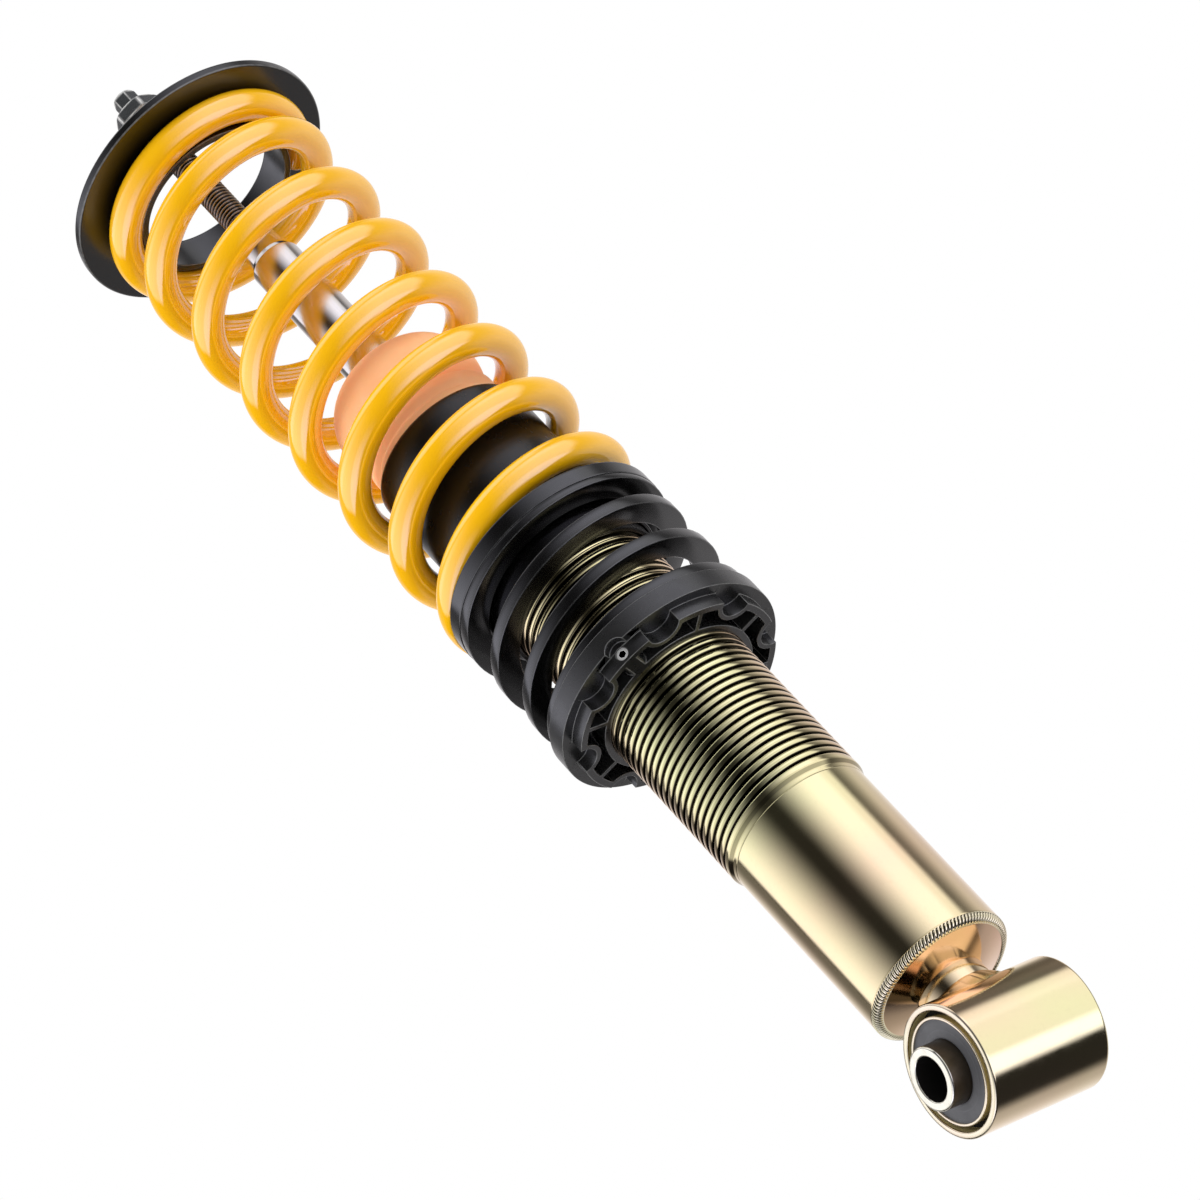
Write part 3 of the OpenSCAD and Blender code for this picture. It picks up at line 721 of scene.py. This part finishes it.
def base_bead(count=116, per_ripple=12, dip=0.75):
    """The bead that joins the cap to the tube: overlapping ripples that lean along the weld, with painted
    shade in the hollows between them.
    """
    verts, faces, wear_and_painted_light = [], [], []
    arc = [(21.9, 30.6), (22.1, 30.22), (22.6, 30.02), (23.2, 30.05), (23.8, 30.28), (24.3, 30.62),
           (24.7, 31.02), (24.95, 31.5), (25.0, 31.95), (25.02, 32.25), (25.02, 32.5), (25.0, 32.66),
           (22.0, 32.66)]
    segments = count * per_ripple
    for i in range(segments):
        a = TAU * i / segments
        for k, (r, z) in enumerate(arc):
            t = min(1.0, k / (len(arc) - 2))
            phase = (a / TAU * count - 1.5 * t ** 1.3) % 1.0
            if phase < HOLLOW_END:
                hollow = (1 - phase / HOLLOW_END) ** 1.1
            else:
                hollow = max(0.0, (phase - HOLLOW_START) / (1 - HOLLOW_START)) ** 1.4
            fade = smoothstep(0.20, 0.40, t) * (1 - smoothstep(0.94, 1.0, t))
            n = Vector((r - BEAD_R, z - BEAD_Z)).normalized() * dip * hollow * fade
            verts.append(((r - n.x) * math.cos(a), (r - n.x) * math.sin(a), z - n.y))
            # painted shade in the hollows between ripples
            wear_and_painted_light.append(-hollow * fade)
    m = len(arc)
    for i in range(segments):
        j = (i + 1) % segments
        for k in range(m):
            q = (k + 1) % m
            faces.append((i * m + k, j * m + k, j * m + q, i * m + q))
    return verts, faces, wear_and_painted_light


verts, faces, wear_and_painted_light = base_bead()
make("base_weld_ripples", verts, faces, WELD, "damper_body", "weld_metal", ["base_weld_bead"], wear_and_painted_light=wear_and_painted_light,
     sharp=70)

# ---------------- body tube with its real thread
TUBE_SEGMENTS = 144


def round_thread(pitch, flat, arc, slope, depth, root):
    """A rounded thread's section as (share of a pitch, share of the depth), starting at a root."""
    steep = math.radians(slope)
    section = []
    for k in range(5):
        t = steep * k / 4
        section.append((flat / 2 + arc * math.sin(t), arc * (1 - math.cos(t))))
    low = depth - root * (1 - math.cos(steep))
    reach = section[-1][0] + (low - section[-1][1]) / math.tan(steep)
    section.append((reach, low))
    section.append((reach + root * math.sin(steep) * 0.55, depth - root * (1 - math.cos(steep * 0.45))))
    half = [(x / pitch, d / depth) for x, d in section]
    rising = [(0.5 - x, d) for x, d in reversed(half)]
    falling = [(0.5 + x, d) for x, d in half]
    return [(0.0, 1.0)] + rising + falling


THREAD_DEPTH = 1.05
THREAD_SHAPE = round_thread(THREAD_PITCH, 0.62, 0.92, 63.0, THREAD_DEPTH, 0.35)
# the negative values on the run-out's groove line and slope paint shade there
tube_outline = [(THREAD_R, THREAD_HIGH, 0), (THREAD_R, 283.0, 0), (22.0, 283.0, 0), (22.0, 32.66, 0),
                (24.7, 32.66, 0), (24.93, 32.74, 0), (TUBE_R, 32.9, 0), (TUBE_R, 33.3, 0), (TUBE_R, 60, 0),
                (TUBE_R, 80, 0), (TUBE_R, 99.8, 0), (TUBE_R, 100.05, 0), (TUBE_R - 0.05, 100.14, -0.2),
                (TUBE_R - 0.05, 100.22, -0.3), (TUBE_R + 0.04, 100.34, 0), (TUBE_R + 0.06, 100.5, 0),
                (TUBE_R + 0.09, 101.5, 0), (TUBE_R + 0.12, 101.75, 0), (TUBE_R + 0.2, 101.9, -0.30),
                (THREAD_R - 0.16, 103.0, -0.30), (THREAD_R - 0.05, 103.25, 0), (THREAD_R, 103.5, 0),
                (THREAD_R, 103.8, 0), (THREAD_R, THREAD_LOW, 0)]
verts, faces, wear_and_painted_light = joined(spun(tube_outline, TUBE_SEGMENTS, closed=False),
                            helical_skin(THREAD_R, THREAD_DEPTH, THREAD_PITCH, THREAD_LOW, THREAD_HIGH,
                                         THREAD_SHAPE, TUBE_SEGMENTS, 1.2))
make("threaded_body_tube", verts, faces, ZINC_THREAD, "damper_body", "zinc_steel", ["body_tube"], wear_and_painted_light=wear_and_painted_light,
     merge=0.002, sharp=48)
plain_tube = bpy.data.objects["threaded_body_tube"]
plain_tube.data.materials.append(ZINC)
for polygon in plain_tube.data.polygons:
    if polygon.center.z < (THREAD_LOW + 0.05) * MM:
        polygon.material_index = 1

# ---------------- dust sleeve and bump stop
lathe("dust_sleeve_moulded", [
    (26.4, 214.0, 0.3), (28.0, 214.0, 0.4), (28.0, 290.0, 2.6), (24.75, 290.0), (24.75, 289.0), (20.0, 289.0),
    (20.0, 287.0), (26.4, 287.0)],
    SLEEVE_NYLON, "damper_body", "sleeve_plastic", ["dust_sleeve"], segments=176, steps=7)


def bump_outline():
    """A sleeve on the rod with one round lobe, over a flange that rests on the dust sleeve."""
    lobe = []
    for degrees in range(84, -62, -6):
        a = math.radians(degrees)
        lobe.append((14.3 + 12.1 * math.cos(a), 313.1 + 15.05 * math.sin(a)))
    inside = [(9.1, 286.5), (9.1, 327.0, 0.8), (10.3, 328.15, 1.0)]
    flange = [(22.0, 300.9, 0.7), (25.2, 300.5, 1.1), (25.2, 297.0, 2.5), (23.7, 294.4, 1.2),
              (24.75, 293.6, 0.7), (24.75, 290.05, 0.3), (19.7, 290.05), (19.7, 286.5)]
    return inside + lobe + flange


lathe("bump_stop_foam", bump_outline(), FOAM, "bump_stop_body", "foam", ["bump_stop"], segments=160, steps=5)

# ---------------- piston rod, its thread, tip and nut
ROD_SEGMENTS = 96
rod_outline = rounded([(0, 227.0), (6.0, 227.0, 0.4), (6.0, 251.2), (9.0, 251.2), (9.0, 392.4, 0.5),
                       (7.95, 394.5, 0.35), (7.0, 394.65), (7.0, 408.6, 0.5), (6.3, 409.0), (4.4, 409.0),
                       (4.4, 413.6), (4.4, 413.8)])
verts, faces, wear_and_painted_light = spun(rod_outline, ROD_SEGMENTS, closed=False)
make("piston_rod_ground", verts, faces, CHROME, "rod", "rod_chrome", ["piston_rod"], wear_and_painted_light=wear_and_painted_light)

STUD_R = 5.0
STUD_LOW, STUD_HIGH = 413.8, 480.6
STUD_SHAPE = [(0.0, 0.0), (0.12, 0.02), (0.30, 0.42), (0.48, 0.9), (0.56, 1.0), (0.66, 0.92), (0.84, 0.42)]
STUD_SEGMENTS = 64
stud = helical_skin(STUD_R, 0.86, 1.5, STUD_LOW, STUD_HIGH, STUD_SHAPE, STUD_SEGMENTS, 1.0)
foot = spun([(4.3, 413.2, 0), (4.75, 413.5, 0), (STUD_R, STUD_LOW, 0)], STUD_SEGMENTS, closed=False)
head = spun([(STUD_R, STUD_HIGH, 0), (4.3, 481.2, 0)], STUD_SEGMENTS, closed=False)
verts, faces, wear_and_painted_light = joined(stud, foot, head)
make("rod_top_thread", verts, faces, STUD_STEEL, "rod", "rod_chrome", ["piston_rod"], wear_and_painted_light=wear_and_painted_light, merge=0.002,
     sharp=50)

HEX_TURN = 43.1           # degrees
NUT_TURN = 44.3
hex_rows = [(4.62, 480.2), (4.62, 485.9), (4.5, 486.3, 0.3), (4.2, 486.8, 0.8), (4.0, 487.15, 0.9),
            (3.6, 487.5, 0.2), (2.9, 487.95, 0.1), (2.5, 488.15, 0.9), (2.2, 488.2, 0.3), (0.02, 488.2),
            (0.02, 480.2)]
verts, faces, wear_and_painted_light = hexagonal(8.0, hex_rows, HEX_TURN, 0.30)
make("rod_hexagon_tip", verts, faces, NUT_STEEL, "rod", "rod_chrome", ["piston_rod"], wear_and_painted_light=wear_and_painted_light, sharp=50)
nut_rows = [(5.05, 473.1), (8.3, 473.1, 0.4), (8.6, 473.15, 0.9), (9.1, 473.4, 0.5), (9.5, 473.8),
            (9.9, 474.3), (9.9, 477.0), (9.5, 477.45), (9.1, 477.8, 0.6), (8.6, 478.12, 0.9),
            (8.3, 478.2, 0.3), (5.05, 478.2)]
verts, faces, wear_and_painted_light = hexagonal(17.0, nut_rows, NUT_TURN, 0.42)
make("top_nut_forged", verts, faces, NUT_STEEL, "rod", "nut_steel", ["top_nut"], wear_and_painted_light=wear_and_painted_light, sharp=50)


# ---------------- springs
# (turns, rise per turn at the start, rise per turn at the end); the last run takes whatever is left
MAIN_RUNS = [(0.86, 9.0, 28.8), (5.99, 28.8, 28.8), (0.45, 28.8, 11.0), (MAIN_TURNS, 11.0, 11.0)]
HELPER_RUNS = [(0.77, 3.9, 3.9), (0.3, 3.9, 17.4), (HELPER_TURNS, 17.4, 17.4)]


def climb(start, runs, t):
    """Height after t turns."""
    z = start
    for turns, p0, p1 in runs:
        part = max(0.0, min(t, turns))
        z += p0 * part + (p1 - p0) * part * part / (2 * turns)
        t -= turns
    return z


def main_z(t):
    """Height of the round wire's middle."""
    return climb(230.0, MAIN_RUNS, t)


def helper_low(t):
    return climb(175.0, HELPER_RUNS, t)


def helper_z(t):
    """Height of the flat wire's middle. The upper half mirrors the lower half."""
    half = HELPER_TURNS / 2
    return helper_low(t) if t < half else 2 * helper_low(half) - helper_low(HELPER_TURNS - t)


def main_rings(per_turn=96, sides=28):
    """Rings along the round wire, ground flat top and bottom, its cut ends slightly rounded."""
    count = int(MAIN_TURNS * per_turn)
    rings = []
    ends = [0.0, 0.0012, 0.0035, 0.007]
    steps = ends + [i / per_turn for i in range(1, count)] + [MAIN_TURNS - e for e in reversed(ends)]
    for t in steps:
        edge = min(t, MAIN_TURNS - t)
        shrink = 0.72 + 0.28 * math.sqrt(1 - (1 - min(1.0, edge / ends[-1])) ** 2)
        a = math.radians(MAIN_START) + TAU * t
        z0 = main_z(t)
        ring = []
        for k in range(sides):
            b = TAU * (k + 0.5) / sides
            r = MAIN_MEAN_R + MAIN_WIRE_R * shrink * math.cos(b)
            z = z0 + MAIN_WIRE_R * shrink * math.sin(b)
            z = min(PERCH_Z - HAIR, max(MAIN_BOTTOM + HAIR, z))
            ring.append((r * math.cos(a), r * math.sin(a), z))
        rings.append(ring)
    return rings


verts, faces = swept(main_rings())
main_spring = make("main_spring_coil", verts, faces, SPRING, "adapter", "spring_coat", ["main_spring"],
                   sharp=40)
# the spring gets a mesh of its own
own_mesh(main_spring)


def helper_rings(per_turn=72):
    """Rings along the flat wire, whose end coils thin out where they are ground flat."""
    count = int(HELPER_TURNS * per_turn)
    rings = []
    inner, outer, soft, thinnest = 31.3, 39.8, 0.45, 0.6
    steps = [i / per_turn for i in range(count + 1)] + [HELPER_TURNS]
    for t in steps:
        z0 = helper_z(t)
        low = max(COLLAR_TOP + HAIR, min(ADAPTER_Z - thinnest, z0 - HELPER_HALF_H))
        high = max(COLLAR_TOP + thinnest, min(ADAPTER_Z - HAIR, z0 + HELPER_HALF_H))
        a = math.radians(HELPER_START) + TAU * t
        s = min(soft, (high - low) * 0.4)
        corners = [(inner, low, 0), (outer, low, 1), (outer, high, 2), (inner, high, 3)]
        ring = []
        for r, z, quarter in corners:
            cr = r + (s if quarter in (0, 3) else -s)
            cz = z + (s if quarter in (0, 1) else -s)
            for k in range(4):
                b = math.pi + quarter * math.pi / 2 + k / 3 * math.pi / 2
                ring.append((cr + s * math.cos(b), cz + s * math.sin(b)))
        rings.append([(r * math.cos(a), r * math.sin(a), z) for r, z in ring])
    return rings


rings = helper_rings()
verts, faces = swept(rings)
wear_and_painted_light = []
for _ in rings:
    wear_and_painted_light += [0.0, 0.8, 0.8, 0.0] * 4
helper_spring = make("helper_spring_flat_wire", verts, faces, BLACK_STEEL, "spring_carriage", "black_steel",
                     ["helper_spring"], wear_and_painted_light=wear_and_painted_light, sharp=40)
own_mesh(helper_spring)

# ---------------- adapter and perch
lathe("helper_adapter_turned", [
    (28.35, 218.0, 0.3), (29.6, 218.0, 0.5), (29.6, ADAPTER_Z), (39.9, ADAPTER_Z, 0.35),
    (39.9, MAIN_BOTTOM, 0.6), (29.6, MAIN_BOTTOM), (29.6, 241.7, 0.5), (28.35, 241.7, 0.3)],
    BLACK_STEEL, "adapter", "black_steel", ["helper_adapter"], segments=192)
lathe("upper_perch_pressed", [
    (27.0, 428.5, 0.3), (29.5, 428.5, 0.5), (29.5, PERCH_Z, 0.6), (48.1, PERCH_Z, 0.6), (48.1, 441.6, 0.7),
    (27.0, 441.6, 0.6)],
    PERCH_BLACK, "perch", "perch_black", ["upper_perch"], segments=224, steps=5)

# ---------------- collar
refined("adjuster_collar_moulded", "adjuster_collar", 0.26, COLLAR_NYLON, "collar")
set_screw = refined("set_screw_cut", "set_screw", 0.16, SCREW_STEEL, "collar")
set_screw.data.materials.append(SOCKET_SHADE)
screw_axis = Vector((math.cos(math.radians(SCREW_AZIMUTH)), math.sin(math.radians(SCREW_AZIMUTH)), 0.0))
SOCKET_REACH = 1.3        # the hexagon socket lies within this of the screw's axis
for polygon in set_screw.data.polygons:
    reach = 0.0
    for index in polygon.vertices:
        away = set_screw.data.vertices[index].co - Vector((0, 0, SCREW_Z * MM))
        reach = max(reach, (away - screw_axis * away.dot(screw_axis)).length)
    # the socket is painted near black as shade in the recess
    if reach < SOCKET_REACH * MM:
        polygon.material_index = 1

# ---------------- sealed inner pieces keep their CAD shape
INNER = {
    INNER_STEEL: ["inner_cylinder", "base_valve_shims", "piston_shims", "piston_nut", "head_nut"],
    INNER_ALLOY: ["base_valve_body", "rod_guide", "piston"],
    BRONZE: ["guide_bush"],
    SEAL_RUBBER: ["oil_seal", "rod_wiper", "rebound_stop"],
    BAND: ["piston_band", "lock_pad"],
}
for material, names in INNER.items():
    for name in names:
        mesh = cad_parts[name].data
        mesh.materials.clear()
        mesh.materials.append(material)


# ---------------- floor, studio and camera
def floor_material():
    s = Shader("pale_floor")
    tone = s.ramp(s.noise(1.5, 3.0), [(0.3, (0.86, 0.86, 0.86)), (0.7, (0.9, 0.9, 0.9))])
    return s.finish(color=tone, rough=0.9, specular=0.1)


FLOOR_Z = -3.0
FLOOR_HALF = 14.0
mesh = bpy.data.meshes.new("studio_floor")
corners = [(FLOOR_HALF * x, FLOOR_HALF * y, FLOOR_Z) for x, y in ((-1, -1), (1, -1), (1, 1), (-1, 1))]
mesh.from_pydata(corners, [], [(0, 1, 2, 3)])
mesh.materials.append(floor_material())
floor = bpy.data.objects.new("studio_floor", mesh)
bpy.context.scene.collection.objects.link(floor)
floor.visible_glossy = False


def unit(azimuth, elevation):
    """The direction that two angles in degrees point in."""
    a, e = math.radians(azimuth), math.radians(elevation)
    return Vector((math.cos(e) * math.cos(a), math.cos(e) * math.sin(a), math.sin(e)))


class Studio:
    """The world: plain white to the eye, and soft boxes on grey to the gloss."""

    def __init__(self):
        world = bpy.data.worlds.new("studio")
        world.use_nodes = True
        bpy.context.scene.world = world
        self.tree = world.node_tree
        self.tree.nodes.clear()
        self.way = self.tree.nodes.new("ShaderNodeTexCoord").outputs["Generated"]

    def link(self, a, b):
        if isinstance(a, bpy.types.NodeSocket):
            self.tree.links.new(a, b)
        else:
            b.default_value = a

    def maths(self, operation, a, b=0.0):
        node = self.tree.nodes.new("ShaderNodeMath")
        node.operation = operation
        self.link(a, node.inputs[0])
        self.link(b, node.inputs[1])
        return node.outputs[0]

    def ramp(self, value, low, high, to_low=0.0, to_high=1.0):
        node = self.tree.nodes.new("ShaderNodeMapRange")
        node.interpolation_type = "SMOOTHSTEP"
        for index, v in enumerate((value, low, high, to_low, to_high)):
            self.link(v, node.inputs[index])
        return node.outputs[0]

    def angles(self):
        split = self.tree.nodes.new("ShaderNodeSeparateXYZ")
        self.tree.links.new(self.way, split.inputs[0])
        degrees = 180 / math.pi
        azimuth = self.maths("MULTIPLY", self.maths("ARCTAN2", split.outputs[1], split.outputs[0]), degrees)
        elevation = self.maths("MULTIPLY", self.maths("ARCSINE", split.outputs[2]), degrees)
        return azimuth, elevation

    def blend(self, fac, a, b):
        node = self.tree.nodes.new("ShaderNodeMix")
        node.data_type = "RGBA"
        self.link(fac, node.inputs[0])
        for index, v in ((6, a), (7, b)):
            self.link(v if isinstance(v, bpy.types.NodeSocket) else (*v, 1.0), node.inputs[index])
        return node.outputs[2]

    def build(self):
        azimuth, elevation = self.angles()
        turned = self.maths("MODULO", self.maths("ADD", azimuth, 360.0), 360.0)
        # the far side of the studio: mid grey, paler higher up, dark beside the soft boxes
        rise = self.maths("ADD", self.ramp(elevation, -48.0, -31.0, 0.0, 0.42),
                          self.ramp(elevation, -38.0, 22.0, 0.0, 0.56))
        behind = self.maths("MINIMUM", rise, self.ramp(turned, 95.0, 150.0, 0.64, 1.0))
        behind = self.maths("MULTIPLY", behind, self.ramp(turned, 56.0, 94.0, 0.20, 1.0))
        behind = self.maths("MULTIPLY", behind, self.ramp(turned, 146.0, 198.0, 1.0, 0.14))
        # two soft boxes fade slowly towards the dark gap between them and end sharply on their outer sides
        low_down = self.ramp(elevation, -30.0, -12.0, 6.0, 0.0)
        left = self.maths("ADD", azimuth, low_down)
        left = self.maths("MULTIPLY", self.ramp(left, -153.5, -146.0),
                          self.ramp(azimuth, -140.0, -55.0, 1.0, 0.0))
        right = self.ramp(self.maths("SUBTRACT", azimuth, low_down), 46.0, 59.0, 1.0, 0.0)
        right = self.maths("MULTIPLY", self.ramp(azimuth, -46.0, 16.0), right)
        tall = self.maths("MULTIPLY", self.ramp(elevation, -68.0, -54.0),
                          self.ramp(elevation, 34.0, 51.0, 1.0, 0.0))
        boxes = self.maths("MULTIPLY", self.maths("ADD", left, right), tall)
        sides = self.ramp(self.maths("ABSOLUTE", self.maths("ADD", azimuth, 50.0)), 100.0, 108.0)
        shade = self.maths("ADD", self.ramp(elevation, 6.0, 20.0), self.ramp(turned, 172.0, 186.0, 1.0, 0.0))
        sides = self.maths("MULTIPLY", sides, self.maths("MINIMUM", shade, 1.0))
        grey = self.maths("ADD", self.maths("MULTIPLY", behind, sides), 0.022)
        colour = self.blend(grey, (0.0, 0.0, 0.0), (1.0, 0.97, 0.99))
        near = self.maths("MULTIPLY", self.ramp(elevation, 14.0, 26.0),
                          self.ramp(azimuth, 30.0, 44.0, 1.0, 0.0))
        lit = self.blend(near, (1.02, 1.02, 1.06), (1.27, 1.27, 1.42))
        lit = self.blend(self.ramp(elevation, -33.0, -24.0), (1.50, 1.50, 1.85), lit)
        colour = self.blend(boxes, colour, lit)
        colour = self.blend(self.ramp(elevation, 45.0, 57.0), colour, (0.075, 0.066, 0.060))
        # a wide sheet of light overhead, reaching lower in front
        front = self.maths("MULTIPLY", self.ramp(azimuth, -170.0, -160.0),
                           self.ramp(azimuth, 26.0, 44.0, 1.0, 0.0))
        front = self.maths("MULTIPLY", front, self.ramp(elevation, 47.0, 58.0))
        lid = self.maths("MAXIMUM", self.ramp(elevation, 58.0, 66.0), front)
        colour = self.blend(lid, colour, (0.92, 0.92, 0.96))
        paths = self.tree.nodes.new("ShaderNodeLightPath")
        soft = self.blend(self.ramp(elevation, -60.0, 40.0), (0.62, 0.60, 0.58), (1.02, 1.02, 1.02))
        colour = self.blend(paths.outputs["Is Diffuse Ray"], colour, soft)
        colour = self.blend(paths.outputs["Is Camera Ray"], colour, (1.0, 1.0, 1.0))
        background = self.tree.nodes.new("ShaderNodeBackground")
        self.tree.links.new(colour, background.inputs["Color"])
        output = self.tree.nodes.new("ShaderNodeOutputWorld")
        self.tree.links.new(background.outputs[0], output.inputs["Surface"])


Studio().build()

LIT_POINT = Vector((0, 0, 0.23))
LIGHT_DISTANCE = 2.4


def soft_light(name, azimuth, elevation, size, power):
    data = bpy.data.lights.new(name, "AREA")
    data.shape = "SQUARE"
    data.size = size
    data.energy = power
    lamp = bpy.data.objects.new(name, data)
    lamp.location = LIT_POINT + unit(azimuth, elevation) * LIGHT_DISTANCE
    lamp.rotation_euler = (LIT_POINT - lamp.location).to_track_quat("-Z", "Y").to_euler()
    lamp.visible_camera = False
    lamp.visible_glossy = False
    bpy.context.scene.collection.objects.link(lamp)


soft_light("soft_key", 15.0, 25.0, 1.6, 20.0)
soft_light("soft_side", -118.0, 15.0, 1.6, 32.0)

CAMERA_AT = Vector((1.18551, -0.95445, -0.73496))
CAMERA_AIM = Vector((0.00184, 0.00160, 0.20980))
CAMERA_ROLL = -42.979
camera_data = bpy.data.cameras.new("photo_camera")
camera_data.sensor_width = 36.0
camera_data.lens = 170.572
camera = bpy.data.objects.new("photo_camera", camera_data)
bpy.context.scene.collection.objects.link(camera)
forward = (CAMERA_AIM - CAMERA_AT).normalized()
level = forward.cross(Vector((0, 0, 1))).normalized()
upright = level.cross(forward)
roll = math.radians(CAMERA_ROLL)
right = level * math.cos(roll) + upright * math.sin(roll)
up = right.cross(forward)
camera.matrix_world = Matrix((
    (right.x, up.x, -forward.x, CAMERA_AT.x),
    (right.y, up.y, -forward.y, CAMERA_AT.y),
    (right.z, up.z, -forward.z, CAMERA_AT.z),
    (0, 0, 0, 1)))
bpy.context.scene.camera = camera
bpy.context.scene.view_settings.view_transform = "Standard"
